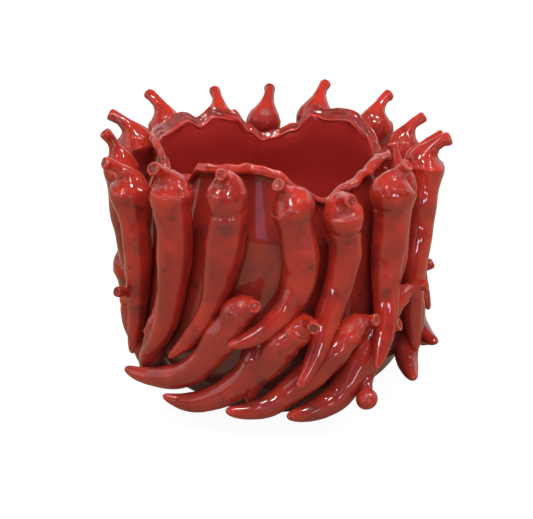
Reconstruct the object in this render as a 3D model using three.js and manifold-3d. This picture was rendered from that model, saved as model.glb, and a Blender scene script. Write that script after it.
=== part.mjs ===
// A red glazed earthenware planter hung with chilli peppers: a thrown pot with a torn, wavy lip, an upper
// ring of long peppers that hang from the lip by their heads, and a lower wreath that sweeps round the base.
// Millimetres, +Z up, origin at the middle of the foot. A bearing is in degrees round the pot, 0 at the front
// (-Y) and growing towards +X. A reach is a distance from the pot's axis.
import * as THREE from 'three';
import { mergeVertices } from 'three/addons/utils/BufferGeometryUtils.js';
import Module from 'manifold-3d';

const wasm = await Module();
wasm.setup();

// ---- Driving dimensions ----

const FOOT_RADIUS = 54;
const FLOOR_THICKNESS = 8;
const BELLY_RADIUS = 103;
const MOUTH_RADIUS = 81.5;
const NECK_RADIUS = 86.5;
const LIP_RADIUS = 89.5;
const RIM_HEIGHT = 197;
const RIM_MOVES_ABOVE = 140;

// The wavy edge of the lip: its height at each bearing round the pot.
const RIM_WAVE = [
  [-175, 179], [-168, 187], [-160, 200], [-147, 203], [-140, 197], [-128, 206], [-114, 202], [-95, 205],
  [-78, 208], [-66, 202], [-58, 190], [-43, 191], [-36, 203], [-23, 204], [-9, 207], [2, 203], [12, 190],
  [24, 179], [36, 188], [48, 196], [60, 201], [75, 198], [93, 191], [111, 183], [122, 196], [134, 205],
  [148, 202], [158, 203], [168, 187], [179, 181],
];

// The profile of a pepper: the distance from the stem's end, then the radius there.
const STEM_AND_HEAD = [
  [0, 3.2], [1.5, 4.2], [9, 3.9], [13, 4.8], [16.5, 7.8], [20, 11.6], [24.5, 14.2], [30, 14.9], [36, 14.2],
];
// The pod beyond its head: the share of the way from the head to the tip, then the radius there.
const POD = [[0.13, 12.5], [0.3, 12.2], [0.48, 11.4], [0.63, 9.9], [0.77, 8], [0.89, 5.6], [0.97, 3.2]];
const HEAD_AT = 30;
const SIDES = 10;
const PATH_STEPS = 24;
const POD_STEPS = 12;

// A ring of peppers shares how far out its heads and pods stand, the heading from head to stem end (0 is
// straight up, 90 level towards higher bearings), how far the stem leans out and how late its tips curl out.
const STEM_LENGTH = 29;
const UPPER_RING = { headReach: 114, podReach: 107, stemHeading: 2, stemLean: 40, curl: 3 };
const LOWER_RING = { headReach: 113, podReach: 106, stemHeading: 50, stemLean: 40, curl: 4 };

const GAP = 0.35;
const POT_SIDES = 48;
const MERGE_DISTANCE = 1e-3;

// Each pepper: where its head is, how long the pod is beyond the middle of the head, the heading of the pod
// where it starts and where it ends (0 is straight down, 90 level towards lower bearings, more than 90
// rising), how late it turns, how far out the tip stands and how stout it is. Some have a stem heading or a
// stem lean of their own, or a seat, which is how much further out than its ring the head sits.
const UPPER_PEPPERS = [
  { bearing: -16.5, height: 186, length: 142, start: -3, end: 48, late: 1.2, tip: 114, girth: 1.03 },
  { bearing: 7, height: 179, length: 134, start: -16, end: 90, late: 1.5, tip: 124, girth: 0.95, stem: -34 },
  { bearing: 26, height: 172, length: 131, start: -8, end: 40, late: 1, tip: 125, girth: 0.95, stem: -10 },
  { bearing: 49, height: 184, length: 133, start: -3, end: 46, late: 2, tip: 131, girth: 1.03 },
  { bearing: 65, height: 182, length: 104, start: 2, end: 18, late: 2, tip: 104, girth: 0.9 },
  { bearing: 82, height: 183, length: 139, start: 16, end: 10, late: 1, tip: 118, girth: 1 },
  { bearing: 101, height: 173, length: 118, start: 4, end: 0, late: 2, tip: 124, girth: 0.9 },
  { bearing: 117, height: 177, length: 134, start: 4, end: 16, late: 2, tip: 124, girth: 0.97 },
  { bearing: 135, height: 186, length: 136, start: -4, end: 38, late: 1.4, tip: 116, girth: 0.98 },
  { bearing: 162, height: 187, length: 134, start: 0, end: 44, late: 1.6, tip: 122, girth: 0.97, stem: -6 },
  {
    bearing: -177, height: 182, length: 130, start: -6, end: 50, late: 1.4, tip: 120, girth: 0.93,
    stem: -12,
  },
  { bearing: -158, height: 182, length: 132, start: 0, end: 36, late: 1.2, tip: 116, girth: 0.97, stem: -8 },
  { bearing: -133, height: 188, length: 142, start: -2, end: 44, late: 1.5, tip: 118, girth: 0.98 },
  { bearing: -112, height: 184, length: 134, start: 0, end: 34, late: 1.6, tip: 112, girth: 1.03, stem: 10 },
  { bearing: -84, height: 182, length: 118, start: 4, end: 34, late: 1.4, tip: 110, girth: 0.95, lean: 22 },
  { bearing: -67, height: 175, length: 138, start: -8, end: 26, late: 1.6, tip: 111, girth: 0.98 },
  { bearing: -39.5, height: 186, length: 152, start: -4, end: 50, late: 1.7, tip: 112, girth: 1 },
];
const LOWER_PEPPERS = [
  { bearing: -14, height: 102, length: 126, start: 12, end: 99, late: 0.95, tip: 124, girth: 0.98 },
  {
    bearing: -1, height: 84, length: 106, start: 20, end: 118, late: 1.8, tip: 122, girth: 0.86,
    seat: -11, stem: 38, lean: 5,
  },
  { bearing: 29, height: 80, length: 108, start: 40, end: 108, late: 2.6, tip: 122, girth: 0.96 },
  {
    bearing: 40, height: 67, length: 85, start: 24, end: 106, late: 1.3, tip: 122, girth: 0.98,
    seat: -6, stem: 40,
  },
  { bearing: 51, height: 94, length: 73, start: 20, end: 40, late: 1, tip: 132, girth: 0.9 },
  { bearing: 89, height: 82, length: 82, start: 36, end: 88, late: 1, tip: 129, girth: 0.9, seat: -8 },
  { bearing: 114, height: 86, length: 84, start: 30, end: 92, late: 1, tip: 127, girth: 0.92 },
  { bearing: 136, height: 94, length: 118, start: 20, end: 108, late: 1.4, tip: 124, girth: 0.96 },
  { bearing: 158, height: 82, length: 112, start: 26, end: 108, late: 1.4, tip: 123, girth: 0.94 },
  { bearing: -179, height: 92, length: 122, start: 20, end: 106, late: 1.2, tip: 125, girth: 0.96 },
  { bearing: -158, height: 82, length: 114, start: 26, end: 110, late: 1.5, tip: 123, girth: 0.94 },
  { bearing: -130, height: 94, length: 122, start: 18, end: 106, late: 1.2, tip: 122, girth: 0.96 },
  { bearing: -103, height: 90, length: 108, start: 22, end: 104, late: 1.3, tip: 118, girth: 0.96, lean: 12 },
];
// Short peppers tucked in between the others, with their tips turned in under the wreath.
const INNER_PEPPERS = [
  { bearing: 9, height: 83, length: 64, start: 46, end: 14, late: 1, tip: 104, girth: 1, stem: 34, lean: 58 },
  { bearing: -56, height: 72, length: 56, start: 14, end: 30, late: 1, tip: 102, girth: 0.86 },
  { bearing: -72, height: 85, length: 58, start: 4, end: -6, late: 1, tip: 100, girth: 0.8, seat: -3 },
];

const GLAZE = new THREE.MeshStandardMaterial({ color: 0xa3241c, roughness: 0.12, metalness: 0 });

// ---- Solids ----

function place(bearing, reach, height) {
  const angle = THREE.MathUtils.degToRad(bearing);
  return new THREE.Vector3(reach * Math.sin(angle), -reach * Math.cos(angle), height);
}

// A closed geometry as a solid that can be cut and joined.
function solidOf(geometry) {
  geometry.deleteAttribute('normal');
  geometry.deleteAttribute('uv');
  const merged = mergeVertices(geometry, MERGE_DISTANCE);
  const vertProperties = Float32Array.from(merged.attributes.position.array);
  const triVerts = Uint32Array.from(merged.index.array);
  return new wasm.Manifold(new wasm.Mesh({ numProp: 3, vertProperties, triVerts }));
}

function meshOf(name, solid) {
  const { vertProperties, triVerts } = solid.getMesh();
  const geometry = new THREE.BufferGeometry();
  geometry.setAttribute('position', new THREE.BufferAttribute(vertProperties, 3));
  geometry.setIndex(new THREE.BufferAttribute(triVerts, 1));
  geometry.computeVertexNormals();
  const mesh = new THREE.Mesh(geometry, GLAZE);
  mesh.name = name;
  return mesh;
}

// The lip's height at a bearing, eased from one point of the wave to the next.
function rimHeight(bearing) {
  const count = RIM_WAVE.length;
  for (let index = 0; index < count; index += 1) {
    const [from, low] = RIM_WAVE[index];
    const [to, high] = RIM_WAVE[(index + 1) % count];
    const span = THREE.MathUtils.euclideanModulo(to - from, 360);
    const along = THREE.MathUtils.euclideanModulo(bearing - from, 360);
    if (along < span) return low + (high - low) * THREE.MathUtils.smoothstep(along, 0, span);
  }
  return RIM_HEIGHT;
}

// The outside of the pot from the middle of the foot up to the edge of the lip.
function outerProfile() {
  return [
    [0, 0], [FOOT_RADIUS, 0], [FOOT_RADIUS + 4, 2.5], [BELLY_RADIUS - 29, 14], [BELLY_RADIUS - 14, 25],
    [BELLY_RADIUS - 4, 37], [BELLY_RADIUS, 53], [BELLY_RADIUS - 2, 84], [BELLY_RADIUS - 5, 122],
    [NECK_RADIUS + 8, 148], [NECK_RADIUS + 3, 165], [NECK_RADIUS, 178], [NECK_RADIUS + 0.8, 187],
    [LIP_RADIUS, 195],
  ];
}

// The rest of the pot's profile: over the lip's edge and down the inside to the middle of the floor.
function innerProfile() {
  return [
    [LIP_RADIUS - 1.2, RIM_HEIGHT], [LIP_RADIUS - 4, 194.5], [MOUTH_RADIUS + 1, 187], [MOUTH_RADIUS, 178],
    [MOUTH_RADIUS + 3, 165], [MOUTH_RADIUS + 7, 148], [BELLY_RADIUS - 11, 122], [BELLY_RADIUS - 8, 84],
    [BELLY_RADIUS - 7, 55], [BELLY_RADIUS - 11, 41], [BELLY_RADIUS - 21, 29], [BELLY_RADIUS - 38, 17],
    [BELLY_RADIUS - 52, 10], [0, FLOOR_THICKNESS],
  ];
}

// A profile turned round the pot's axis, its upper part stretched to follow the wave of the lip.
function turnedSolid(profile) {
  const points = profile.map(([radius, height]) => new THREE.Vector2(radius, height));
  const geometry = new THREE.LatheGeometry(points, POT_SIDES);
  geometry.rotateX(Math.PI / 2);
  const position = geometry.attributes.position;
  for (let index = 0; index < position.count; index += 1) {
    const rise = position.getZ(index) - RIM_MOVES_ABOVE;
    if (rise > 0) {
      const bearing = THREE.MathUtils.radToDeg(Math.atan2(position.getX(index), -position.getY(index)));
      const stretch = (rimHeight(bearing) - RIM_MOVES_ABOVE) / (RIM_HEIGHT - RIM_MOVES_ABOVE);
      position.setZ(index, RIM_MOVES_ABOVE + rise * stretch);
    }
  }
  return solidOf(geometry);
}

function potSolid() {
  return turnedSolid([...outerProfile(), ...innerProfile()]);
}

// The room that the pot takes up outside, with the gap that every pepper keeps to it.
function potRoom() {
  const outside = outerProfile().map(([radius, height]) => [radius > 0 ? radius + GAP : 0, height - GAP]);
  return turnedSolid([...outside, [LIP_RADIUS + GAP, RIM_HEIGHT + GAP], [0, RIM_HEIGHT + GAP]]);
}

// The run of a pepper's middle line: the stem's end, the middle of the head, then the pod, which keeps to
// the pot's wall and turns from its first heading to its last.
function pepperPath(pepper, ring) {
  const headReach = ring.headReach + (pepper.seat ?? 0);
  const points = [1, 0.5].map((share) => stemPoint(pepper, ring, headReach, share));
  const step = pepper.length / POD_STEPS;
  let { bearing, height } = pepper;
  for (let index = 0; index <= POD_STEPS; index += 1) {
    const along = index / POD_STEPS;
    const reach = ring.podReach + (headReach - ring.podReach) * (1 - along) ** 2
      + (pepper.tip - ring.podReach) * along ** ring.curl;
    points.push(place(bearing, reach, height));
    const turned = (along + 0.5 / POD_STEPS) ** pepper.late;
    const heading = THREE.MathUtils.degToRad(pepper.start + (pepper.end - pepper.start) * turned);
    bearing -= THREE.MathUtils.radToDeg((step * Math.sin(heading)) / reach);
    height -= step * Math.cos(heading);
  }
  return new THREE.CatmullRomCurve3(points, false, 'centripetal');
}

// A point on the stem's middle line, at a share of the way from the middle of the head to the stem's end.
function stemPoint(pepper, ring, headReach, share) {
  const lean = THREE.MathUtils.degToRad(pepper.lean ?? ring.stemLean) * share;
  const heading = THREE.MathUtils.degToRad(pepper.stem ?? ring.stemHeading);
  const length = STEM_LENGTH * share;
  const sideways = length * Math.cos(lean) * Math.sin(heading);
  const bearing = pepper.bearing + THREE.MathUtils.radToDeg(sideways / headReach);
  const height = pepper.height + length * Math.cos(lean) * Math.cos(heading);
  return place(bearing, headReach + length * Math.sin(lean), height);
}

// A pepper turned as a straight body and bent along its path.
function pepperSolid(path, pepper, swell = 0) {
  const total = path.getLength();
  const podLength = total - HEAD_AT;
  const stations = [...STEM_AND_HEAD];
  for (const [share, radius] of POD) stations.push([HEAD_AT + share * podLength, radius]);
  const outline = [[-swell, 0]];
  for (const [distance, radius] of stations) outline.push([distance, radius * pepper.girth + swell]);
  outline.push([total + swell, 0]);
  const points = outline.map(([distance, radius]) => new THREE.Vector2(radius, distance));
  const geometry = new THREE.LatheGeometry(points, SIDES);
  bendAlong(geometry, path, total);
  return solidOf(geometry);
}

// Moves each point of a body that stands along Y to the same distance along the path.
function bendAlong(geometry, path, total) {
  const frames = path.computeFrenetFrames(PATH_STEPS, false);
  const position = geometry.attributes.position;
  for (let index = 0; index < position.count; index += 1) {
    const distance = position.getY(index);
    const share = THREE.MathUtils.clamp(distance / total, 0, 1);
    const overrun = distance - share * total;
    const slot = Math.min(Math.floor(share * PATH_STEPS), PATH_STEPS - 1);
    const blend = share * PATH_STEPS - slot;
    const normal = frames.normals[slot].clone().lerp(frames.normals[slot + 1], blend).normalize();
    const tangent = path.getTangentAt(share);
    const side = new THREE.Vector3().crossVectors(tangent, normal).normalize();
    const upright = new THREE.Vector3().crossVectors(side, tangent);
    const point = path.getPointAt(share).addScaledVector(tangent, overrun);
    point.addScaledVector(side, position.getX(index)).addScaledVector(upright, position.getZ(index));
    position.setXYZ(index, point.x, point.y, point.z);
  }
}

// The largest body of a solid, without the scraps that a cut leaves.
function largestBody(solid) {
  const bodies = solid.decompose();
  return bodies.reduce((largest, body) => (body.volume() > largest.volume() ? body : largest));
}

// ---- Assembly ----

const planter = new THREE.Group();
const takenRooms = [potRoom()];

// Adds a ring of peppers, each cut clear of the pot and of the peppers that were added before it.
function addPeppers(name, peppers, ring) {
  peppers.forEach((pepper, index) => {
    const path = pepperPath(pepper, ring);
    let solid = pepperSolid(path, pepper);
    for (const room of takenRooms) solid = solid.subtract(room);
    planter.add(meshOf(`${name}_${String(index + 1).padStart(2, '0')}`, largestBody(solid)));
    takenRooms.push(pepperSolid(path, pepper, GAP));
  });
}

planter.add(meshOf('pot_body', potSolid()));
addPeppers('upper_pepper', UPPER_PEPPERS, UPPER_RING);
addPeppers('lower_pepper', LOWER_PEPPERS, LOWER_RING);
addPeppers('inner_pepper', INNER_PEPPERS, LOWER_RING);

export default planter;
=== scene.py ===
"""A red glazed ceramic planter hung with chilli peppers, dressed in its glaze and set in a plain studio.

The pot is spun from its outline and its lip is torn into a wave. Each pepper is a copy of one straight
pepper, made lumpy, bent along its own line down the wall and pressed onto the pot. A bearing is in degrees
round the pot, 0 at the front (-Y) and growing towards +X. A reach is a distance from the pot's axis.
"""

import math
from typing import NamedTuple

import bpy
import numpy as np
from bpy.props import FloatProperty, FloatVectorProperty, PointerProperty
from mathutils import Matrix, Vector, noise


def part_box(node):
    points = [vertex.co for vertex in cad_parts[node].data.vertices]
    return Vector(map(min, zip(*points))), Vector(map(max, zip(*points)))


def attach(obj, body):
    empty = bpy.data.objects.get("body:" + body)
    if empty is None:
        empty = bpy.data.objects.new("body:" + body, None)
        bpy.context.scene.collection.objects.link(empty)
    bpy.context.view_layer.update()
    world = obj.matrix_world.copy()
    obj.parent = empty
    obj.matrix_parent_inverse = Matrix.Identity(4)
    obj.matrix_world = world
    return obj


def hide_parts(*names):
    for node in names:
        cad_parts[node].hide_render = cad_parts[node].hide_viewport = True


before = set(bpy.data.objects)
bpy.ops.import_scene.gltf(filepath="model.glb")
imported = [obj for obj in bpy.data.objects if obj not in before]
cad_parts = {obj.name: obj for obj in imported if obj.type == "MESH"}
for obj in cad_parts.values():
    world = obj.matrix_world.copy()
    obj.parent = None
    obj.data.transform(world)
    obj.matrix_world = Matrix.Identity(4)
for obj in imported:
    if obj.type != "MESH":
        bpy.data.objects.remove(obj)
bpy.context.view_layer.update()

bl_info = {
    "name": "Chilli pepper planter",
    "version": (1, 0, 0),
    "blender": (4, 5, 0),
    "location": "View3D > Sidebar > Planter",
    "description": "Models and glazes a ceramic planter hung with chilli peppers",
    "category": "Object",
}

MM = 0.001
_, POT_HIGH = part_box("pot_body")
GLAZE = "mottled_red_glaze"
BODY = "root"

# ---- The pot ----

POT_STEPS = 360
OUTLINE_STEP = 3 * MM
MERGE_WITHIN = 0.02 * MM
# The wall's reach is read from a coarser run, without the steps over the flat middle of the foot.
WALL_STEP = 5 * MM
FLAT_STEPS = 4
# The pot's outside, from the foot to the neck. After the name of a size come the points that are set out
# from it: how much wider each is, and its height, in millimetres.
OUTSIDE = [
    ("foot_radius", [(-16, 0), (-1, 0), (4, 2.5), (20, 14)]),
    ("belly_radius", [
        (-14, 25), (-4, 38), (0, 54), (-1, 70), (-2.6, 90), (-4, 112), (-4.7, 130), (-5.5, 144),
        (-6.3, 152)]),
    ("neck_radius", [(7.2, 161), (4.5, 170), (2, 178), (0, 185)]),
]
# In the same way, over the rolled lip and down the inside to the floor.
LIP_AND_INSIDE = [
    ("neck_radius", [(-0.7, 188.2), (-0.6, 189.1), (0.6, 190)]),
    ("lip_radius", [
        (-0.7, 190.7), (0.7, 191.6), (1.3, 193), (0.8, 194.7), (0, 196.2), (-1.1, 197.1), (-2.0, 196.8),
        (-2.6, 195.8), (-3.2, 194.8), (-3.9, 193.8)]),
    ("mouth_radius", [
        (1.4, 192.9), (0.9, 192.1), (0.4, 191.4), (-0.1, 190.8), (-0.4, 190.1), (-0.3, 189.3), (0, 188.3),
        (0.1, 186.8), (0.2, 178), (1.4, 170), (4, 157), (6.5, 144)]),
    ("belly_radius", [
        (-12, 130), (-9.6, 108), (-8, 84), (-7, 60), (-11, 41), (-21, 29), (-38, 17), (-58, 10)]),
]
# The wavy edge of the lip: its height at each bearing round the pot, in millimetres.
RIM_WAVE = [
    (-175, 179), (-168, 187), (-160, 200), (-147, 203), (-140, 197), (-128, 206), (-114, 202), (-95, 205),
    (-78, 208), (-66, 202), (-58, 190), (-43, 191), (-36, 203), (-23, 204), (-9, 207), (2, 203), (12, 190),
    (24, 179), (36, 188), (48, 196), (60, 201), (75, 198), (93, 191), (111, 183), (122, 196), (134, 205),
    (148, 202), (158, 203), (168, 187), (179, 181),
]
RIM_MOVES_ABOVE = 140 * MM
RIM_MIDDLE = 197 * MM
# How far below the lip's edge the torn band ends, the ripples of the edge end, and the folds begin. Here and
# below, a pair says where a change sets in and where it is complete.
BAND_ENDS = (7 * MM, 13 * MM)
EDGE_ENDS = (0.5 * MM, 5 * MM)
FOLDS_BEGIN = (0.8 * MM, 2.2 * MM)
# The folds: how far apart and how deep they are, and from which value of their ripple they show.
FOLD_SPACING = 3.1 * MM
FOLD_DEPTH = 0.22
FOLDED_PATCHES = (-0.35, 0.15)
# Of the ripples of the lip: how strong each is, the size of its features, and its seed.
LIP_RIPPLES = {
    "lift": (0.7, 17 * MM, 1),
    "edge_lift": (0.75, 6.5 * MM, 2),
    "sway": (1.0, 20 * MM, 3),
    "small_sway": (0.6, 7 * MM, 4),
    "fold_drift": (4, 24 * MM, 5),
    "fold_patches": (1.0, 16 * MM, 6),
    "knobs": (1.5, 6 * MM, 7),
}
# The ripples run on longer down the lip than round it, because a depth counts for this share of itself.
RIPPLE_DROP = 0.6
# The thick stretch of the lip: how thick, at which bearings, and how far its face reaches within the lip.
THICK_LIP = 2.6 * MM
LIP_SWELLS, LIP_THINS = (24, 36), (66, 84)
LIP_FACE = 1.8 * MM
# Where the inside begins, within the wall and above the foot, and where the lip slopes down to it.
INSIDE_WITHIN, INSIDE_ABOVE = 2 * MM, 6 * MM
SLOPE_WITHIN, SLOPE_ABOVE = 1.5 * MM, 188.5 * MM
# How strongly painted shade darkens the wall, the belly up to its shoulder, and the lip's inner slope.
WALL_PAINTED_SHADE, BELLY_PAINTED_SHADE, SLOPE_PAINTED_SHADE = 0.45, 1.1, 0.8
SHOULDER = (55 * MM, 112 * MM)

# ---- The peppers ----

# A pepper's outline: the distance from the stem's end, then the radius there, in millimetres. It starts at
# the bottom of the dimple in the stem's end.
STEM_AND_HEAD = [
    (1.3, 0), (1.25, 1.2), (0.9, 2.3), (0.3, 3.1), (-0.1, 3.6), (-0.1, 4.1), (0.4, 4.5), (1.6, 4.7),
    (3.2, 4.7), (5.5, 4.4), (8.0, 4.3), (10.5, 4.4), (13.0, 4.8), (15.2, 5.5), (17.2, 6.4), (19.0, 7.5),
    (20.6, 8.8), (22.2, 10.1), (24.0, 11.5), (26.0, 12.8), (28.2, 13.9), (30.4, 14.7), (32.6, 15.0),
    (34.6, 14.9), (36.2, 14.6), (37.8, 14.2), (39.8, 13.8), (42.4, 13.4),
]
# The pod beyond its head: the share of the way from the head to the tip, then the radius there.
POD = [
    (0.13, 13.1), (0.16, 12.9), (0.2, 12.8), (0.25, 12.6), (0.3, 12.4), (0.35, 12.2), (0.4, 11.9),
    (0.45, 11.4), (0.5, 10.9), (0.55, 10.3), (0.6, 9.7), (0.65, 9.1), (0.7, 8.5), (0.75, 7.8),
    (0.8, 7.1), (0.85, 6.3), (0.89, 5.5), (0.93, 4.6), (0.96, 3.7), (0.98, 2.8), (0.993, 1.7), (1.0, 0),
]
HEAD_AT = 30 * MM
STEM_END = 20 * MM
MASTER_POD = 120 * MM
PEPPER_STEPS = 40
POD_STEPS = 12
STEM_STEPS = (1, 0.75, 0.5, 0.25)
LINE_STEPS = 16
# A pod's sway: how many bends it has, and how far it is shifted from one pepper to the next.
SWAY_BENDS, SWAY_SHIFT = 2.6, 1.9
SUNK_IN_WALL = 2.5 * MM
CLEAR_OF_TABLE = 0.3 * MM
UPPER_SEED, LOWER_SEED, INNER_SEED = 1, 101, 201
SEED_SHIFT = (7.3, 3.1, 5.7)
# Where a pepper's forms begin and end, from the stem's end.
BODY_BEGINS = (12 * MM, 26 * MM)
ROUGH_STEM_ENDS = (14 * MM, 26 * MM)
SLIM_HEAD_BEGINS = (17 * MM, 27 * MM)
WRINKLES_END = (28 * MM, 37 * MM)
# The same from the middle of the head.
ROUGH_HEAD_ENDS = (4 * MM, 12 * MM)
SLIM_HEAD_ENDS = (5 * MM, 22 * MM)
BELLY_BEGINS = (8 * MM, 24 * MM)
# Where the painted shade of a pod begins.
PAINTED_SHADE_BEGINS = (0, 20 * MM)
# The same as shares of the pod.
BELLY_ENDS = (0.3, 0.7)
TIP_BEGINS = (0.8, 0.97)
# The lumps and the roughness: how strong they are, and the size of their features.
LUMPS, LUMP_SIZE = 1.3, 24 * MM
SMALL_LUMPS, SMALL_LUMP_SIZE = 0.2, 10 * MM
LUMPS_FADE = 0.65
ROUGH_STEM, ROUGH_HEAD, ROUGH_SIZE = 0.3, 0.26, 5 * MM
ROUGH_ABOVE = (1.5 * MM, 3.5 * MM)
# How far a pod is from round, as two lobes that twist and three that don't.
TWO_LOBES, THREE_LOBES, LOBE_TWIST = 0.03, 0.02, 60 * MM
# The crease under a collar: where it runs past the head, how it tilts and strays, its depth and its width.
CREASE_PAST_HEAD, CREASE_TILT = 13.4 * MM, 1.6 * MM
CREASE_STRAY, CREASE_STRAY_SIZE = 1.2 * MM, 12 * MM
CREASE_DEPTH, CREASE_WIDTH = 1.6 * MM, 1.4 * MM
CREASED_ABOVE = (6 * MM, 9 * MM)
# A ball's neck: how thin it is, how much it widens up the pod and over what run, in radii of the ball.
BALL_NECK, NECK_FLARE, NECK_RUN = 0.62, 0.3, (2.2, 5)
# How far from the wall the painted shade of the seam ends, how dark it is there, and how rough a tip is.
SEAM_ENDS = (1 * MM, 12 * MM)
SEAM_PAINTED_SHADE = 0.9
TIP_WRINKLE = 0.8


class Ring(NamedTuple):
    """What a ring of peppers shares: its reaches in millimetres, the heading and lean of its stems in
    degrees, how late its tips curl out, how rough its pods are in millimetres, how much painted shade
    darkens its pods and what share its heads are slimmer by."""
    head_reach: float
    pod_reach: float
    stem_heading: float
    stem_lean: float
    curl: float
    rough: float
    pooling_and_shade: float
    slim: float


class Pepper(NamedTuple):
    """Where a pepper's head is, how long its pod is, how the pod turns from its first heading to its last
    (0 straight down, 90 level towards lower bearings) and how late, the reach of its tip and how stout it
    is, in degrees and millimetres. Its stem may have its own heading and lean and be cut short, its head may
    have its own seat, and its pod a collar, a ball for a tip and a belly."""
    bearing: float
    height: float
    length: float
    start: float
    end: float
    late: float
    tip: float
    girth: float
    stem: float = None
    lean: float = None
    seat: float = 0
    collar: float = 0
    ball: float = 0
    belly: float = 1
    cut: float = 0


UPPER_RING = Ring(
    head_reach=114, pod_reach=107, stem_heading=2, stem_lean=40, curl=3, rough=0, pooling_and_shade=0, slim=0)
# The lower ring's pods carry painted shade, as they hang low and face down.
LOWER_RING = Ring(
    head_reach=113, pod_reach=106, stem_heading=50, stem_lean=40, curl=4, rough=0.1, pooling_and_shade=0.36, slim=0.2)

UPPER_PEPPERS = [
    Pepper(-16.5, 193.5, 149, -3, 47, 1.2, 114, 0.93, collar=0.9, belly=1.17, cut=7),
    Pepper(7, 185, 130, -16, 86, 1.55, 124, 1.02, stem=-30, lean=26, cut=5),
    Pepper(26, 175, 134, -8, 40, 1, 125, 0.99, stem=-12, lean=50, collar=0.7, belly=0.92, cut=5),
    Pepper(49, 184, 133, -3, 46, 2, 131, 1.08, stem=12, lean=25, belly=0.94, cut=7),
    Pepper(59, 183, 104, 2, 18, 2, 104, 0.82, seat=-7, lean=-14),
    Pepper(82, 183, 139, 16, 10, 1, 118, 1.08),
    Pepper(101, 173, 118, 4, 0, 2, 124, 0.9, collar=0.6),
    Pepper(117, 177, 134, 4, 16, 2, 124, 0.97),
    Pepper(135, 186, 136, -4, 38, 1.4, 116, 0.98, collar=0.8),
    Pepper(162, 187, 134, 0, 44, 1.6, 122, 0.97, stem=-6),
    Pepper(-177, 182, 130, -6, 50, 1.4, 120, 0.93, stem=-12, collar=0.5),
    Pepper(-158, 182, 132, 0, 36, 1.2, 116, 0.97, stem=-8),
    Pepper(-133, 188, 142, -2, 44, 1.5, 118, 0.98, collar=0.7),
    Pepper(-112, 184, 134, 0, 34, 1.6, 112, 1.03, stem=10),
    Pepper(-84, 182, 118, 4, 34, 1.4, 110, 0.95, lean=22),
    Pepper(-67, 175, 138, -8, 26, 1.6, 111, 1, belly=0.88),
    Pepper(-39.5, 186, 152, -4, 50, 1.7, 112, 1.08, collar=0.4, belly=0.94),
]
LOWER_PEPPERS = [
    Pepper(-12, 104, 128, 28, 102, 1.6, 124, 0.98, cut=8),
    Pepper(-2, 86, 105, 20, 116, 1.8, 122, 0.93, seat=-10, stem=36, lean=8, cut=3),
    Pepper(29, 84, 109, 40, 108, 2.6, 122, 0.97, cut=6),
    Pepper(40, 67, 85, 24, 106, 1.3, 122, 0.98, seat=-6, stem=40),
    Pepper(51, 94, 75, 20, 40, 1, 130, 0.9, ball=8),
    Pepper(86, 82, 82, 20, 92, 1, 131, 0.94, seat=-8),
    Pepper(110, 84, 84, 30, 100, 1, 130, 0.94),
    Pepper(136, 94, 118, 20, 108, 1.4, 124, 0.96, collar=0.6),
    Pepper(158, 82, 112, 26, 108, 1.4, 123, 0.94),
    Pepper(-179, 92, 122, 20, 106, 1.2, 125, 0.96),
    Pepper(-158, 82, 114, 26, 110, 1.5, 123, 0.94, collar=0.5),
    Pepper(-130, 94, 122, 18, 106, 1.2, 122, 0.96),
    Pepper(-103, 90, 108, 22, 104, 1.3, 118, 1.02, stem=10, lean=4, seat=3),
]
INNER_PEPPERS = [
    Pepper(7.8, 88, 68, 46, 14, 1, 104, 1, stem=34, lean=58),
    Pepper(-55, 70, 54, 10, 30, 1, 100, 0.78, stem=6, lean=-6, seat=-8),
    Pepper(-72, 85, 58, 4, -6, 1, 100, 0.8, seat=-3),
]

# ---- The glaze ----

# How many features to the metre each of its patterns has.
TONE_SCALE, BLOTCH_SCALE, BREAK_SCALE, PIT_SCALE = 42, 75, 420, 780
GRAIN_SCALE, SWELL_SCALE = 340, 110
# Between which values of its pattern each colour sets in, and how much of it there is at most.
BRIGHT_FROM = (0.34, 0.66)
POOLED_FROM, POOLED_SHARE = (0.5, 0.78), 0.7
SPECKLE_FROM, SPECKLE_SHARE = (0.45, 0.65), 0.6
EDGE_FROM, EDGE_SHARE = (0.35, 0.75), 0.5
# Shares of deep red for painted shade and in creases, where glaze pools and shade falls, and of the inside's
# red, which is partly painted light.
PAINTED_SHADE_SHARE, INSIDE_GLAZE_AND_LIGHT_SHARE, CREASE_POOL_AND_SHADE_SHARE = 0.65, 0.94, 0.8
# How rough the glaze is at least, and how much rougher its blotches are.
LEAST_ROUGH, BLOTCHES_ROUGHER, ROUGHER_FROM = 0.025, 0.02, (0.4, 0.7)
# The heights of its grain and of its swells, in millimetres, and above which value of pooling and painted
# shade the glaze lies smooth.
GRAIN_HEIGHT, SWELL_HEIGHT = 0.02, 0.4
SMOOTH_FROM = (0.28, 0.45)
REFRACTION = 1.52
# One over the radius, in metres, at which an edge or a crease begins to show and shows in full.
EDGE_BEND, CREASE_BEND = (270, 560), (60, 260)
BEND_SMOOTHING = 3

# ---- The studio ----

VIEW_ELEVATION = 20
VIEW_DISTANCE = 1500 * MM
VIEW_TARGET = (-4.2 * MM, 0, 103.5 * MM)
LENS = 132.7
FLOOR_FRONT, FLOOR_BACK, FLOOR_SIDE = -1.1, 3.0, 3.0
# What the camera sees of the floor: its grey, how strongly it glows and the share of the glow.
FLOOR_SEEN = (0.68, 0.68, 0.68)
FLOOR_GLOW, FLOOR_GLOW_SHARE = 1.22, 0.78
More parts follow.
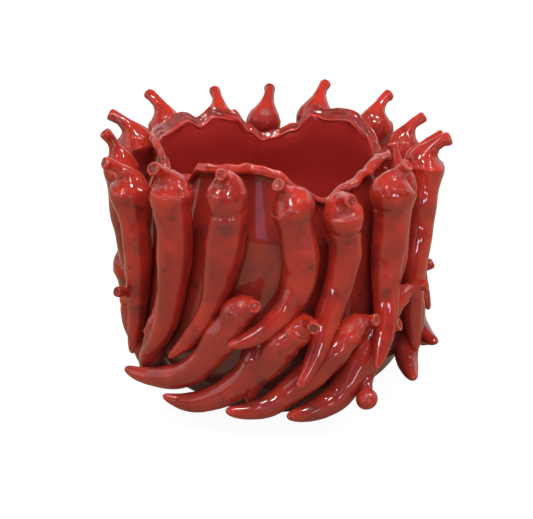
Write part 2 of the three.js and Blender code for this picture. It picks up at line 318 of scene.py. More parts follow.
# The room's white walls: how bright they are, how far back they begin and how high up they end.
WHITE_WALLS = (0.9, 0.9, 0.9)
WALLS_BEGIN, WALLS_END = (-0.15, 0.1), (0.45, 0.6)
WHITE = (1, 1, 1)
CEILING = 2.4
LAMP_TINT = (1, 0.96, 0.9)
LAMP_SIZE = (0.4, 0.06)
LAMP_ROWS = (-2.3, -0.8)
LAMP_COLUMNS = (-1.9, -0.65, 0.6, 1.85)
LAMP_ROW_SHIFT = 0.6
SOFT_LAMP_SIZE = (3.8, 3)
SOFT_LAMP_AT = (0.15, -1, CEILING)
# The places from side to side, and the widths, of the far windows.
FAR_WINDOWS = ((-2.3, 0.5), (-1.6, 0.5), (0.95, 0.6), (2.0, 0.6))
FAR_WINDOW_HEIGHT = 0.22
FAR_WINDOW_FRONT, FAR_WINDOW_UP = -3, 0.3
FAR_WINDOW_TINT = (0.8, 0.82, 1)
TALL_WINDOW = (0.46, 1.5)
TALL_WINDOW_AT = (-0.33, -2.5, 0.95)
TALL_WINDOW_TINT = (0.72, 0.6, 1)
TALL_WINDOW_SHARE = 0.07
LEFT_PANEL = (1.8, 1.6)
LEFT_PANEL_AT = (-2.6, -0.9, 0.8)
LEFT_PANEL_TINT = (1, 0.98, 0.97)
# How bright the left panel looks where it is mirrored.
LEFT_SHEEN = 1.2
# What the lamps in front and at the left point at.
LOW_ON_POT, HIGH_ON_POT = (0, 0, 0.1), (0, 0, 0.15)


class PlanterSizes(bpy.types.PropertyGroup):
    """The sizes of the pot and of its relief."""
    foot_radius: FloatProperty(
        name="Foot radius", description="Radius of the flat foot", default=54 * MM, unit="LENGTH")
    belly_radius: FloatProperty(
        name="Belly radius", description="Widest radius of the wall", default=POT_HIGH.x, unit="LENGTH")
    neck_radius: FloatProperty(
        name="Neck radius", description="Radius of the wall under the lip", default=86.5 * MM, unit="LENGTH")
    mouth_radius: FloatProperty(
        name="Mouth radius", description="Inside radius under the lip", default=83.6 * MM, unit="LENGTH")
    lip_radius: FloatProperty(
        name="Lip radius", description="Radius of the lip's edge", default=89.5 * MM, unit="LENGTH")
    floor_thickness: FloatProperty(
        name="Floor", description="Thickness of the pot's floor", default=8 * MM, unit="LENGTH")
    lip_ripple: FloatProperty(
        name="Lip ripple", description="How far the torn lip ripples", default=1.6 * MM, unit="LENGTH")
    lump: FloatProperty(
        name="Lumps", description="How far a pepper's lumps stand out", default=1.7 * MM, unit="LENGTH")
    sway: FloatProperty(
        name="Sway", description="How far a pod sways from side to side", default=2 * MM, unit="LENGTH")
    stem_length: FloatProperty(
        name="Stem length", description="From the middle of the head to the stem's end",
        default=29 * MM, unit="LENGTH")


class PlanterColours(bpy.types.PropertyGroup):
    """The colours of the glaze and of the studio."""
    glaze: FloatVectorProperty(
        name="Glaze", description="Colour of the glaze", subtype="COLOR", default=(0.30, 0.022, 0.017))
    bright: FloatVectorProperty(
        name="Bright patches", description="Where the glaze is thin and warm", subtype="COLOR",
        default=(0.45, 0.029, 0.017))
    pooled: FloatVectorProperty(
        name="Pooled glaze", description="Where the glaze is thick and dark", subtype="COLOR",
        default=(0.085, 0.018, 0.015))
    # Deep glaze is the dark red of painted shade: on the wall, the belly, the lip's inner slope, the seams,
    # the lower pods and in creases.
    deep: FloatVectorProperty(
        name="Deep glaze", description="The even dark red of the wall", subtype="COLOR",
        default=(0.13, 0.026, 0.022))
    edge: FloatVectorProperty(
        name="Thin edges", description="Where the glaze breaks over an edge", subtype="COLOR",
        default=(0.62, 0.17, 0.08))
    speckle: FloatVectorProperty(
        name="Speckle", description="Warm specks on the heads, the stems and the lip", subtype="COLOR",
        default=(0.62, 0.04, 0.012))
    # Inside is the interior's even glaze, painted brighter to make up for the shade inside the pot.
    inside: FloatVectorProperty(
        name="Inside", description="The even glaze inside the pot", subtype="COLOR",
        default=(0.5, 0.036, 0.032))
    floor: FloatVectorProperty(
        name="Floor", description="What the glaze mirrors of the floor", subtype="COLOR",
        default=(0.45, 0.37, 0.27))
    room: FloatVectorProperty(
        name="Room", description="What the glaze mirrors in front and above", subtype="COLOR",
        default=(0.15, 0.14, 0.15))
    soft_lamp: FloatProperty(
        name="Soft lamp", description="Power of the soft lamp on the ceiling", default=125, unit="POWER")
    glint: FloatProperty(
        name="Glints", description="Power of each small lamp that glints in the glaze", default=17,
        unit="POWER")
    window: FloatProperty(
        name="Windows", description="Power of a square metre of the far windows", default=45, unit="POWER")


# ---- Shaders ----


class Socket:
    """An output socket, whose arithmetic adds Math nodes to its material."""

    def __init__(self, finish, socket):
        self.finish = finish
        self.socket = socket

    def _math(self, operation, first, second):
        return self.finish.node("ShaderNodeMath", {"operation": operation}, {0: first, 1: second})

    def __add__(self, other):
        return self._math("ADD", self, other)

    def __radd__(self, other):
        return self._math("ADD", other, self)

    def __sub__(self, other):
        return self._math("SUBTRACT", self, other)

    def __rsub__(self, other):
        return self._math("SUBTRACT", other, self)

    def __mul__(self, other):
        return self._math("MULTIPLY", self, other)

    def __rmul__(self, other):
        return self._math("MULTIPLY", other, self)


class Finish:
    """A node tree that is written with expressions."""

    def __init__(self, tree):
        self.tree = tree
        tree.nodes.clear()

    def node(self, kind, settings=None, inputs=None, output=0):
        """Adds a node, sets it, fills its inputs with values or links and gives one of its outputs."""
        node = self.tree.nodes.new(kind)
        for name, value in (settings or {}).items():
            setattr(node, name, value)
        for key, value in (inputs or {}).items():
            self.fill(node.inputs[key], value)
        return Socket(self, node.outputs[output]) if node.outputs else node

    def fill(self, place, value):
        """Links a socket to an input, or sets the input to a value."""
        if isinstance(value, Socket):
            self.tree.links.new(value.socket, place)
        elif hasattr(value, "__len__") and place.type == "RGBA" and len(value) == 3:
            place.default_value = (*value, 1)
        else:
            place.default_value = value

    def noise(self, place, scale, detail=2.0, roughness=0.5, distortion=0.0):
        """Noise from 0 to 1 with so many features to the metre."""
        return self.node("ShaderNodeTexNoise", None, {
            "Vector": place, "Scale": scale, "Detail": detail, "Roughness": roughness,
            "Distortion": distortion})

    def ease(self, value, low, high):
        """0 below low, 1 above high, and smooth between them."""
        return self.node("ShaderNodeMapRange", {"interpolation_type": "SMOOTHSTEP"}, {
            "Value": value, "From Min": low, "From Max": high})

    def mix(self, share, low, high):
        """A colour between two colours."""
        return self.node("ShaderNodeMix", {"data_type": "RGBA"}, {0: share, 6: low, 7: high}, 2)

    def attribute(self, name):
        """A number that the mesh carries at its points."""
        return self.node("ShaderNodeAttribute", {"attribute_name": name}, None, "Fac")


def glaze_finish(colours):
    """The gloss glaze: mottled red, darkened by painted shade on the wall, the seams, the creases and the
    lower pods, lifted inside by painted light, and pale where it breaks over edges.
    """
    material = bpy.data.materials.new(GLAZE)
    material.use_nodes = True
    finish = Finish(material.node_tree)
    place = finish.node("ShaderNodeTexCoord", None, None, "Object")
    tone = finish.noise(place, TONE_SCALE, distortion=0.4)
    blotch = finish.noise(place, BLOTCH_SCALE, distortion=0.3)
    breaking = finish.noise(place, BREAK_SCALE)
    pits = finish.noise(place, PIT_SCALE, roughness=0.6, distortion=0.4)
    wrinkle = finish.attribute("wrinkle")
    inside = finish.attribute("inside")
    pooling_and_shade = finish.attribute("pooling_and_shade")
    crease = finish.attribute("crease")
    colour = finish.mix(finish.ease(tone, *BRIGHT_FROM), colours.glaze, colours.bright)
    colour = finish.mix(finish.ease(blotch, *POOLED_FROM) * POOLED_SHARE, colour, colours.pooled)
    # Painted shade: deep red on the wall, the belly, the lip's inner slope, the seams and the lower pods.
    colour = finish.mix(pooling_and_shade * PAINTED_SHADE_SHARE, colour, colours.deep)
    # Painted light: the inside is lifted to a brighter red, over its even glaze.
    colour = finish.mix(inside * INSIDE_GLAZE_AND_LIGHT_SHARE, colour, colours.inside)
    speckle = wrinkle * finish.ease(pits, *SPECKLE_FROM) * SPECKLE_SHARE
    colour = finish.mix(speckle, colour, colours.speckle)
    # Deep red in concave creases: glaze pooled there, and painted shade.
    colour = finish.mix(crease * CREASE_POOL_AND_SHADE_SHARE, colour, colours.deep)
    thin = finish.attribute("thin_edge") * finish.ease(breaking, *EDGE_FROM) * EDGE_SHARE
    colour = finish.mix(thin, colour, colours.edge)
    roughness = LEAST_ROUGH + finish.ease(blotch, *ROUGHER_FROM) * BLOTCHES_ROUGHER
    grain = finish.noise(place, GRAIN_SCALE, detail=1.0) * wrinkle * GRAIN_HEIGHT
    swells = finish.noise(place, SWELL_SCALE, detail=1.0) * (1 - finish.ease(pooling_and_shade, *SMOOTH_FROM))
    height = grain + swells * SWELL_HEIGHT
    bump = finish.node("ShaderNodeBump", None, {"Strength": 1.0, "Distance": 1 * MM, "Height": height})
    shader = finish.node("ShaderNodeBsdfPrincipled", None, {
        "Base Color": colour, "Roughness": roughness, "Normal": bump, "IOR": REFRACTION})
    finish.node("ShaderNodeOutputMaterial", None, {"Surface": shader})
    return material


def floor_finish(colours):
    """The plain floor: pale to the camera, and warm where the glaze mirrors it."""
    material = bpy.data.materials.new("floor")
    material.use_nodes = True
    finish = Finish(material.node_tree)
    seen = finish.node("ShaderNodeLightPath", None, None, "Is Camera Ray")
    tint = finish.mix(seen, colours.floor, FLOOR_SEEN)
    matt = finish.node("ShaderNodeBsdfDiffuse", None, {"Color": tint})
    glow = finish.node("ShaderNodeEmission", None, {"Color": WHITE, "Strength": FLOOR_GLOW})
    shader = finish.node("ShaderNodeMixShader", None, {0: seen * FLOOR_GLOW_SHARE, 1: matt, 2: glow})
    finish.node("ShaderNodeOutputMaterial", None, {"Surface": shader})
    return material


# ---- Modelling ----


def start(name, add, **settings):
    """Deselects everything and adds a primitive, which becomes the active piece."""
    bpy.ops.object.select_all(action="DESELECT")
    add(**settings)
    piece = bpy.context.active_object
    piece.name = name
    piece.data.name = name
    return piece


def apply(piece, kind, **settings):
    """Adds a modifier to the piece and applies it."""
    bpy.ops.object.select_all(action="DESELECT")
    piece.select_set(True)
    bpy.context.view_layer.objects.active = piece
    modifier = piece.modifiers.new(kind.lower(), kind)
    for name, value in settings.items():
        setattr(modifier, name, value)
    bpy.ops.object.modifier_apply(modifier=modifier.name)


def spun(name, outline, axis, steps):
    """A closed body spun about an axis from an outline that starts and ends on it."""
    piece = start(name, bpy.ops.mesh.primitive_plane_add, size=1 * MM)
    bpy.ops.object.mode_set(mode="EDIT")
    bpy.ops.mesh.select_all(action="SELECT")
    bpy.ops.mesh.merge(type="CENTER")
    bpy.ops.transform.translate(value=outline[0])
    for here, there in zip(outline, outline[1:]):
        move = [b - a for a, b in zip(here, there)]
        bpy.ops.mesh.extrude_region_move(TRANSFORM_OT_translate={"value": move})
    bpy.ops.mesh.select_all(action="SELECT")
    bpy.ops.mesh.spin(steps=steps, angle=math.tau, center=(0, 0, 0), axis=axis)
    bpy.ops.mesh.select_all(action="SELECT")
    bpy.ops.mesh.remove_doubles(threshold=MERGE_WITHIN)
    bpy.ops.mesh.normals_make_consistent(inside=False)
    bpy.ops.object.mode_set(mode="OBJECT")
    return piece


def points_of(mesh):
    """A mesh's points as an array."""
    flat = np.empty(len(mesh.vertices) * 3, np.float32)
    mesh.vertices.foreach_get("co", flat)
    return flat.reshape(-1, 3).astype(float)


def move_points(mesh, points):
    """Puts a mesh's points where the array says."""
    mesh.vertices.foreach_set("co", points.astype(np.float32).ravel())
    mesh.update()


def store(mesh, name, values):
    """Keeps a number for each point of a mesh."""
    layer = mesh.attributes.get(name) or mesh.attributes.new(name, "FLOAT", "POINT")
    layer.data.foreach_set("value", np.asarray(values, np.float32))


def stored(mesh, name):
    """The number that each point of a mesh carries."""
    values = np.empty(len(mesh.vertices), np.float32)
    mesh.attributes[name].data.foreach_get("value", values)
    return values.astype(float)


def ease(values, low, high):
    """0 below low, 1 above high, and smooth between them."""
    share = np.clip((np.asarray(values, float) - low) / (high - low), 0, 1)
    return share * share * (3 - 2 * share)


def ripple(points, size, seed=0.0):
    """Smooth noise from -1 to 1 at each point, with features of about the given size."""
    shift = Vector([seed * step for step in SEED_SHIFT])
    return np.array([noise.noise(Vector(point) / size + shift) for point in points])


def mark_edges(mesh):
    """Stores where a mesh turns sharply outwards, as thin_edge, and inwards, as crease."""
    points = points_of(mesh)
    normals = np.array([vertex.normal for vertex in mesh.vertices])
    ends = np.empty(len(mesh.edges) * 2, np.int64)
    mesh.edges.foreach_get("vertices", ends)
    first, second = ends.reshape(-1, 2).T
    run = points[second] - points[first]
    square = np.maximum((run * run).sum(1), 1e-12)
    bend = np.zeros(len(points))
    count = np.zeros(len(points))
    for here, way in ((first, run), (second, -run)):
        np.add.at(bend, here, -2 * (normals[here] * way).sum(1) / square)
        np.add.at(count, here, 1)
    bend /= np.maximum(count, 1)
    for _ in range(BEND_SMOOTHING):
        total = bend.copy()
        np.add.at(total, first, bend[second])
        np.add.at(total, second, bend[first])
        bend = total / (count + 1)
    store(mesh, "thin_edge", ease(bend, *EDGE_BEND))
    store(mesh, "crease", ease(-bend, *CREASE_BEND))


def dress(piece, material, node):
    """Gives a finished piece its glaze and its body, and hides the solid that it stands for."""
    mesh = piece.data
    mark_edges(mesh)
    mesh.materials.clear()
    mesh.materials.append(material)
    mesh.polygons.foreach_set("use_smooth", [True] * len(mesh.polygons))
    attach(piece, BODY)
    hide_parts(node)


def rim_height(bearings):
    """The lip's height at each bearing, eased from one point of the wave to the next, in metres."""
    knots = np.array(RIM_WAVE, float)
    knots = np.vstack([knots[-1] - (360, 0), knots, knots[0] + (360, 0)])
    spot = np.clip(np.searchsorted(knots[:, 0], bearings, side="right"), 1, len(knots) - 1)
    low, high = knots[spot - 1], knots[spot]
    share = ease((bearings - low[:, 0]) / (high[:, 0] - low[:, 0]), 0, 1)
    return MM * (low[:, 1] + (high[:, 1] - low[:, 1]) * share)


def set_out(runs, sizes):
    """A part of the pot's outline as radii and heights, in metres."""
    return [
        (getattr(sizes, size) + wider * MM, height * MM)
        for size, points in runs for wider, height in points]


def wall_outside(sizes):
    """The outside of the pot, from the middle of the foot to the neck, as radii and heights."""
    return [(0, 0)] + set_out(OUTSIDE, sizes)


def pot_outline(sizes):
    """The pot's outline: up the outside, over the rolled lip, and down the inside to the floor."""
    return wall_outside(sizes) + set_out(LIP_AND_INSIDE, sizes) + [(0, sizes.floor_thickness)]


def eased_run(points, longest):
    """A finer run of points on smooth curves through the given points, none further apart than longest."""
    run = []
    for index in range(len(points) - 1):
        before, here, there, after = (
            np.array(points[min(max(index + shift, 0), len(points) - 1)]) for shift in (-1, 0, 1, 2))
        chord = np.linalg.norm(there - here)
        leave = (there - before) * chord / max(np.linalg.norm(there - before), chord)
        arrive = (after - here) * chord / max(np.linalg.norm(after - here), chord)
        steps = max(2, math.ceil(chord / longest))
        for step in range(steps):
            t = step / steps
            run.append(
                here * (1 + 2 * t) * (1 - t) ** 2 + leave * t * (1 - t) ** 2
                + there * t * t * (3 - 2 * t) + arrive * t * t * (t - 1))
    return run + [np.array(points[-1])]


def torn(name, points):
    """One of the ripples of the lip at each point."""
    strength, size, seed = LIP_RIPPLES[name]
    return strength * ripple(points, size, seed)


def tear_lip(points, sizes):
    """Stretches the pot's upper part to the wave of the lip, ripples its edge and gives the torn band."""
    reach = np.hypot(points[:, 0], points[:, 1])
    bearing = np.degrees(np.arctan2(points[:, 0], -points[:, 1]))
    rise = points[:, 2] - RIM_MOVES_ABOVE
    upper = rise > 0
    stretch = (rim_height(bearing) - RIM_MOVES_ABOVE) / (RIM_MIDDLE - RIM_MOVES_ABOVE)
    below = (RIM_MIDDLE - points[:, 2]) * stretch
    band = 1 - ease(below, *BAND_ENDS)
    edge = 1 - ease(below, *EDGE_ENDS)
    around = np.column_stack([np.sin(np.radians(bearing)), np.cos(np.radians(bearing))]) * sizes.lip_radius
    ring = np.column_stack([around, np.zeros(len(points))])
    deep = np.column_stack([around, below * RIPPLE_DROP])
    lift = band * torn("lift", ring) + edge * torn("edge_lift", ring)
    sway = torn("sway", deep) + torn("small_sway", deep)
    folds = np.sin(math.tau * below / FOLD_SPACING + torn("fold_drift", ring))
    folds *= FOLD_DEPTH * ease(torn("fold_patches", deep), *FOLDED_PATCHES) * ease(below, *FOLDS_BEGIN)
    points[upper, 2] = (RIM_MOVES_ABOVE + rise * stretch + lift * sizes.lip_ripple)[upper]
    swollen = ease(bearing, *LIP_SWELLS) * (1 - ease(bearing, *LIP_THINS))
    swollen = swollen * (reach > sizes.lip_radius - LIP_FACE)
    thick = swollen * (1 + torn("knobs", deep)) * THICK_LIP / sizes.lip_ripple
    outward = band * (sway + folds + thick) * sizes.lip_ripple
    scale = 1 + outward / np.maximum(reach, sizes.foot_radius)
    points[:, 0] *= scale
    points[:, 1] *= scale
    return band


def wall_reach(sizes, heights):
    """The outside radius of the pot's wall at each height."""
    steps = eased_run(wall_outside(sizes), WALL_STEP)[FLAT_STEPS:]
    return np.interp(heights, [height for _, height in steps], [radius for radius, _ in steps])


def finish_pot(mesh, sizes):
    """Tears the lip, and stores where the glaze is wrinkled, where painted shade darkens it and where the
    inside is.
    """
    points = points_of(mesh)
    reach = np.hypot(points[:, 0], points[:, 1])
    within = reach < wall_reach(sizes, points[:, 2]) - INSIDE_WITHIN
    store(mesh, "inside", within & (points[:, 2] > INSIDE_ABOVE))
    slope = (reach < sizes.lip_radius - SLOPE_WITHIN) & (points[:, 2] > SLOPE_ABOVE)
    band = tear_lip(points, sizes)
    store(mesh, "wrinkle", band)
    # Painted shade: the wall below the band, more on the belly towards the foot, and the lip's inner slope.
    wall = WALL_PAINTED_SHADE * (1 - band) + BELLY_PAINTED_SHADE * (1 - ease(points[:, 2], *SHOULDER))
    store(mesh, "pooling_and_shade", np.where(slope, SLOPE_PAINTED_SHADE * band, wall))
    move_points(mesh, points)


def pepper_path(pepper, ring, seed, sizes):
    """The run of a pepper's middle line, from the stem's end through the head and down the pod."""
    head_reach = (ring.head_reach + pepper.seat) * MM
    pod_reach = ring.pod_reach * MM
    tip_reach = pepper.tip * MM
    lean = math.radians(ring.stem_lean if pepper.lean is None else pepper.lean)
    side = math.radians(ring.stem_heading if pepper.stem is None else pepper.stem)
    points = []
    for share in STEM_STEPS:
        length = (sizes.stem_length - pepper.cut * MM) * share
        tilt = lean * share
        bearing = pepper.bearing + math.degrees(length * math.cos(tilt) * math.sin(side) / head_reach)
        height = pepper.height * MM + length * math.cos(tilt) * math.cos(side)
        points.append(place(bearing, head_reach + length * math.sin(tilt), height))
    step = pepper.length * MM / POD_STEPS
    bearing, height = pepper.bearing, pepper.height * MM
    for index in range(POD_STEPS + 1):
        along = index / POD_STEPS
        reach = pod_reach + (head_reach - pod_reach) * (1 - along) ** 2
        reach += (tip_reach - pod_reach) * along ** ring.curl
        sway = sizes.sway * math.sin(math.pi * along)
        sway *= math.sin(SWAY_BENDS * math.pi * along + SWAY_SHIFT * seed)
        points.append(place(bearing + math.degrees(sway / reach), reach, height))
        turned = (along + 0.5 / POD_STEPS) ** pepper.late
        heading = math.radians(pepper.start + (pepper.end - pepper.start) * turned)
        bearing -= math.degrees(step * math.sin(heading) / reach)
        height -= step * math.cos(heading)
    return points


def place(bearing, reach, height):
    """A point at a bearing, a reach and a height."""
    angle = math.radians(bearing)
    return Vector((reach * math.sin(angle), -reach * math.cos(angle), height))


def path_through(points):
    """A smooth curve through points."""
    curve = bpy.data.curves.new("pepper_line", "CURVE")
    curve.dimensions = "3D"
    curve.twist_mode = "MINIMUM"
    curve.resolution_u = LINE_STEPS
    spline = curve.splines.new("BEZIER")
    spline.bezier_points.add(len(points) - 1)
    for knot, point in zip(spline.bezier_points, points):
        knot.co = point
        knot.handle_left_type = knot.handle_right_type = "AUTO"
    line = bpy.data.objects.new("pepper_line", curve)
    bpy.context.scene.collection.objects.link(line)
    return line, spline.calc_length()


def straight_pepper():
    """One straight pepper along X, with a pod of the master's length, which every pepper is a copy of."""
    outline = [(distance * MM, radius * MM, 0) for distance, radius in STEM_AND_HEAD]
    for share, radius in POD:
        outline.append((HEAD_AT + share * MASTER_POD, radius * MM, 0))
    piece = spun("straight_pepper", outline, (1, 0, 0), PEPPER_STEPS)
    apply(piece, "SUBSURF", levels=1, render_levels=1)
    return piece


def ball_ended(left, radius, ball):
    """The radii of a pod that thins to a neck and ends in a ball, by the length that is left to its end."""
    flare = NECK_FLARE * ease(left, NECK_RUN[0] * ball, NECK_RUN[1] * ball)
    neck = np.minimum(radius, ball * (BALL_NECK + flare))
    round_end = np.sqrt(np.clip(ball * ball - (ball - left) ** 2, 0, None))
    return np.where(left < ball, round_end, np.maximum(neck, round_end))


def collar_crease(line, angle, seed):
    """How deep the crease under a pepper's head is at each point."""
    tilt = CREASE_TILT * np.cos(angle + seed)
    stray = CREASE_STRAY * ripple(line, CREASE_STRAY_SIZE, seed + 80)
    middle = HEAD_AT + CREASE_PAST_HEAD + tilt + stray
    return CREASE_DEPTH * np.exp(-((line[:, 0] - middle) / CREASE_WIDTH) ** 2)


def lumpy(points, pepper, ring, pod, seed, sizes):
    """Gives a straight pepper its own length, girth, lobes, lumps and the crease under its head."""
    along = points[:, 0]
    beyond = along - HEAD_AT
    share = np.clip(beyond / MASTER_POD, 0, 1)
    along = np.where(beyond > 0, HEAD_AT + share * pod, along)
    angle = np.arctan2(points[:, 2], points[:, 1])
    slim = ring.slim * ease(along, *SLIM_HEAD_BEGINS) * (1 - ease(beyond, *SLIM_HEAD_ENDS))
    radius = np.hypot(points[:, 1], points[:, 2]) * pepper.girth * (1 - slim)
    if pepper.ball:
        radius = ball_ended(HEAD_AT + pod - along, radius, pepper.ball * MM)
    line = np.column_stack([along, radius * np.cos(angle), radius * np.sin(angle)])
    belly = (pepper.belly - 1) * ease(beyond, *BELLY_BEGINS) * (1 - ease(share, *BELLY_ENDS))
    radius = radius * (1 + belly)
    body = ease(along, *BODY_BEGINS) * (1 - LUMPS_FADE * share)
    lumps = LUMPS * ripple(line, LUMP_SIZE, seed) + SMALL_LUMPS * ripple(line, SMALL_LUMP_SIZE, seed + 40)
    lobes = TWO_LOBES * np.cos(2 * angle + seed + along / LOBE_TWIST)
    lobes = lobes + THREE_LOBES * np.cos(3 * angle - 2 * seed)
    crease = pepper.collar * collar_crease(line, angle, seed) * ease(radius, *CREASED_ABOVE)
    radius = radius * (1 + lobes * body) + sizes.lump * lumps * body - crease
    rough_stem = ROUGH_STEM * (1 - ease(along, *ROUGH_STEM_ENDS))
    rough_head = ROUGH_HEAD * (1 - ease(beyond, *ROUGH_HEAD_ENDS))
    wobble = (rough_stem + rough_head + ring.rough) * MM * ripple(line, ROUGH_SIZE, seed + 20)
    radius = np.maximum(radius + wobble * ease(radius, *ROUGH_ABOVE), 0)
    cut = pepper.cut * MM
    along = np.where(along < STEM_END, along * (1 - cut / STEM_END), along - cut)
    return np.column_stack([along, radius * np.cos(angle), radius * np.sin(angle)])


def press_on_wall(points, sizes):
    """Pushes what would pass through the pot's wall back to just inside its face, and clear of the table."""
    reach = np.hypot(points[:, 0], points[:, 1])
    least = wall_reach(sizes, points[:, 2]) - SUNK_IN_WALL
    scale = np.where(reach < least, least / np.maximum(reach, MM), 1)
    points[:, 0] *= scale
    points[:, 1] *= scale
    points[:, 2] = np.maximum(points[:, 2], CLEAR_OF_TABLE)


def finish_pepper(mesh, ring):
    """Stores where a pepper is wrinkled and where painted shade darkens it, while it is still straight."""
    beyond = points_of(mesh)[:, 0] - HEAD_AT
    store(mesh, "inside", np.zeros(len(beyond)))
    # Painted shade on the pod beyond the head, as much as the ring has.
    store(mesh, "pooling_and_shade", ring.pooling_and_shade * ease(beyond, *PAINTED_SHADE_BEGINS))
    tip = ease(beyond / MASTER_POD, *TIP_BEGINS)
    store(mesh, "wrinkle", 1 - ease(beyond + HEAD_AT, *WRINKLES_END) + TIP_WRINKLE * tip)


def paint_shade_at_seam(mesh, points, sizes):
    """Stores painted shade, as thick dark glaze, where a pepper lies close to the wall."""
    gap = np.hypot(points[:, 0], points[:, 1]) - wall_reach(sizes, points[:, 2])
    seam = SEAM_PAINTED_SHADE * (1 - ease(gap, *SEAM_ENDS))
    store(mesh, "pooling_and_shade", np.maximum(stored(mesh, "pooling_and_shade"), seam))


def hang_peppers(stem, peppers, ring, seed):
    """Makes a ring of peppers, each a bent copy of the straight one."""
    sizes = bpy.context.scene.planter_sizes
    material = bpy.data.materials.get(GLAZE) or glaze_finish(bpy.context.scene.planter_colours)
    master = bpy.data.objects.get("straight_pepper") or straight_pepper()
    for index, pepper in enumerate(peppers):
        node = f"{stem}_{index + 1:02d}"
        piece = bpy.data.objects.new(f"{node}_glazed", master.data.copy())
        bpy.context.scene.collection.objects.link(piece)
        mesh = piece.data
        finish_pepper(mesh, ring)
        line, length = path_through(pepper_path(pepper, ring, seed + index, sizes))
        pod = length - HEAD_AT + pepper.cut * MM
        move_points(mesh, lumpy(points_of(mesh), pepper, ring, pod, seed + index, sizes))
        apply(piece, "CURVE", object=line, deform_axis="POS_X")
        bpy.data.objects.remove(line)
        points = points_of(mesh)
        press_on_wall(points, sizes)
        move_points(mesh, points)
        paint_shade_at_seam(mesh, points, sizes)
        dress(piece, material, node)


class PLANTER_OT_pot(bpy.types.Operator):
    """Spin the pot and tear its lip"""
    bl_idname = "planter.pot"
    bl_label = "Pot"

    def execute(self, context):
        sizes = context.scene.planter_sizes
        material = bpy.data.materials.get(GLAZE) or glaze_finish(context.scene.planter_colours)
        outline = eased_run(pot_outline(sizes), OUTLINE_STEP)
        outline = [(radius, 0, max(height, 0)) for radius, height in outline]
        piece = spun("pot_glazed", outline, (0, 0, 1), POT_STEPS)
        finish_pot(piece.data, sizes)
        dress(piece, material, "pot_body")
        return {"FINISHED"}


class PLANTER_OT_upper_peppers(bpy.types.Operator):
    """Hang the long peppers round the lip"""
    bl_idname = "planter.upper_peppers"
    bl_label = "Upper peppers"

    def execute(self, context):
        hang_peppers("upper_pepper", UPPER_PEPPERS, UPPER_RING, UPPER_SEED)
        return {"FINISHED"}


class PLANTER_OT_lower_peppers(bpy.types.Operator):
    """Lay the wreath of peppers round the base"""
    bl_idname = "planter.lower_peppers"
    bl_label = "Lower peppers"

    def execute(self, context):
        hang_peppers("lower_pepper", LOWER_PEPPERS, LOWER_RING, LOWER_SEED)
        return {"FINISHED"}


class PLANTER_OT_inner_peppers(bpy.types.Operator):
    """Tuck the short peppers in between the others"""
    bl_idname = "planter.inner_peppers"
    bl_label = "Inner peppers"

    def execute(self, context):
        hang_peppers("inner_pepper", INNER_PEPPERS, LOWER_RING, INNER_SEED)
        bpy.data.objects.remove(bpy.data.objects["straight_pepper"])
        return {"FINISHED"}


def add_lamp(name, location, target, size, power, colour, mirrored=True, lights=True):
    """A rectangular lamp that faces a point. It is mirrored in the glaze, lights the pieces, or both."""
    bpy.ops.object.light_add(type="AREA", location=location)
    lamp = bpy.context.active_object
    lamp.name = name
    lamp.rotation_euler = (Vector(target) - Vector(location)).to_track_quat("-Z", "Y").to_euler()
    lamp.data.shape = "RECTANGLE"
    lamp.data.size, lamp.data.size_y = size
    lamp.data.energy = power
    lamp.data.color = colour
    lamp.visible_glossy = mirrored
    lamp.visible_diffuse = lights


def light_room(colours):
    """White low round the back, a dim room in front and above, and plain white to the camera."""
    world = bpy.data.worlds.new("studio")
    bpy.context.scene.world = world
    world.use_nodes = True
    finish = Finish(world.node_tree)
    way = finish.node("ShaderNodeTexCoord", None, None, "Generated")
    back = finish.node("ShaderNodeSeparateXYZ", None, {0: way}, "Y")
    up = finish.node("ShaderNodeSeparateXYZ", None, {0: way}, "Z")
    white = finish.ease(back, *WALLS_BEGIN) * (1 - finish.ease(up, *WALLS_END))
    seen = finish.mix(white, colours.room, WHITE_WALLS)
    room = finish.node("ShaderNodeBackground", None, {"Color": seen, "Strength": 1.0})
    backdrop = finish.node("ShaderNodeBackground", None, {"Color": WHITE, "Strength": 1.0})
    camera_ray = finish.node("ShaderNodeLightPath", None, None, "Is Camera Ray")
    either = finish.node("ShaderNodeMixShader", None, {0: camera_ray, 1: room, 2: backdrop})
    finish.node("ShaderNodeOutputWorld", None, {"Surface": either})


def hang_lamps(colours):
    """Small lamps that glint and a soft one on the ceiling, windows in front and a panel at the left."""
    for row, y in enumerate(LAMP_ROWS):
        for column, x in enumerate(LAMP_COLUMNS):
            spot = (x + LAMP_ROW_SHIFT * row, y, CEILING)
            add_lamp(f"glint_{row}_{column}", spot, (spot[0], y, 0), LAMP_SIZE, colours.glint, LAMP_TINT,
                     lights=False)
    add_lamp("soft_lamp", SOFT_LAMP_AT, (SOFT_LAMP_AT[0], SOFT_LAMP_AT[1], 0), SOFT_LAMP_SIZE,
             colours.soft_lamp, LAMP_TINT, mirrored=False)
    for index, (x, width) in enumerate(FAR_WINDOWS):
        power = colours.window * width * FAR_WINDOW_HEIGHT
        spot = (x, FAR_WINDOW_FRONT, FAR_WINDOW_UP)
        add_lamp(f"far_window_{index}", spot, LOW_ON_POT, (width, FAR_WINDOW_HEIGHT), power, FAR_WINDOW_TINT)
    power = colours.window * TALL_WINDOW_SHARE * TALL_WINDOW[0] * TALL_WINDOW[1]
    add_lamp("tall_window", TALL_WINDOW_AT, HIGH_ON_POT, TALL_WINDOW, power, TALL_WINDOW_TINT)
    power = LEFT_SHEEN * math.pi * LEFT_PANEL[0] * LEFT_PANEL[1]
    add_lamp("left_panel", LEFT_PANEL_AT, LOW_ON_POT, LEFT_PANEL, power, LEFT_PANEL_TINT, lights=False)


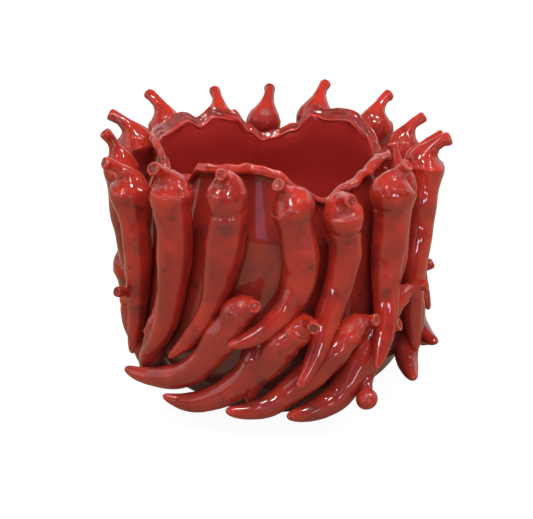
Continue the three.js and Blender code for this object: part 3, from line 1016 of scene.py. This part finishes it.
class PLANTER_OT_stage(bpy.types.Operator):
    """Set up the floor, the lamps and the camera"""
    bl_idname = "planter.stage"
    bl_label = "Stage"

    def execute(self, context):
        scene = context.scene
        colours = scene.planter_colours
        floor = start("floor", bpy.ops.mesh.primitive_plane_add, size=1)
        corners = [(x, y, 0) for y in (FLOOR_FRONT, FLOOR_BACK) for x in (-FLOOR_SIDE, FLOOR_SIDE)]
        move_points(floor.data, np.array(corners))
        floor.data.materials.append(floor_finish(colours))
        hang_lamps(colours)
        light_room(colours)
        angle = math.radians(VIEW_ELEVATION)
        back = Vector((0, -math.cos(angle), math.sin(angle)))
        bpy.ops.object.camera_add(location=Vector(VIEW_TARGET) + back * VIEW_DISTANCE)
        camera = context.active_object
        camera.rotation_euler = (-back).to_track_quat("-Z", "Y").to_euler()
        camera.data.lens = LENS
        scene.camera = camera
        scene.view_settings.view_transform = "Standard"
        return {"FINISHED"}


class PLANTER_PT_sidebar(bpy.types.Panel):
    """Lists the steps that make the planter"""
    bl_label = "Planter"
    bl_idname = "PLANTER_PT_sidebar"
    bl_space_type = "VIEW_3D"
    bl_region_type = "UI"
    bl_category = "Planter"

    def draw(self, context):
        for group in (context.scene.planter_sizes, context.scene.planter_colours):
            for name in group.__annotations__:
                self.layout.prop(group, name)
        for step in STEPS:
            self.layout.operator(step.bl_idname)


STEPS = (
    PLANTER_OT_stage, PLANTER_OT_pot, PLANTER_OT_upper_peppers, PLANTER_OT_lower_peppers,
    PLANTER_OT_inner_peppers,
)
CLASSES = (PlanterSizes, PlanterColours, *STEPS, PLANTER_PT_sidebar)


def register():
    for one in CLASSES:
        bpy.utils.register_class(one)
    bpy.types.Scene.planter_sizes = PointerProperty(type=PlanterSizes)
    bpy.types.Scene.planter_colours = PointerProperty(type=PlanterColours)


def unregister():
    del bpy.types.Scene.planter_colours
    del bpy.types.Scene.planter_sizes
    for one in reversed(CLASSES):
        bpy.utils.unregister_class(one)


def main():
    register()
    bpy.ops.planter.stage()
    bpy.ops.planter.pot()
    bpy.ops.planter.upper_peppers()
    bpy.ops.planter.lower_peppers()
    bpy.ops.planter.inner_peppers()


if __name__ == "__main__":
    main()
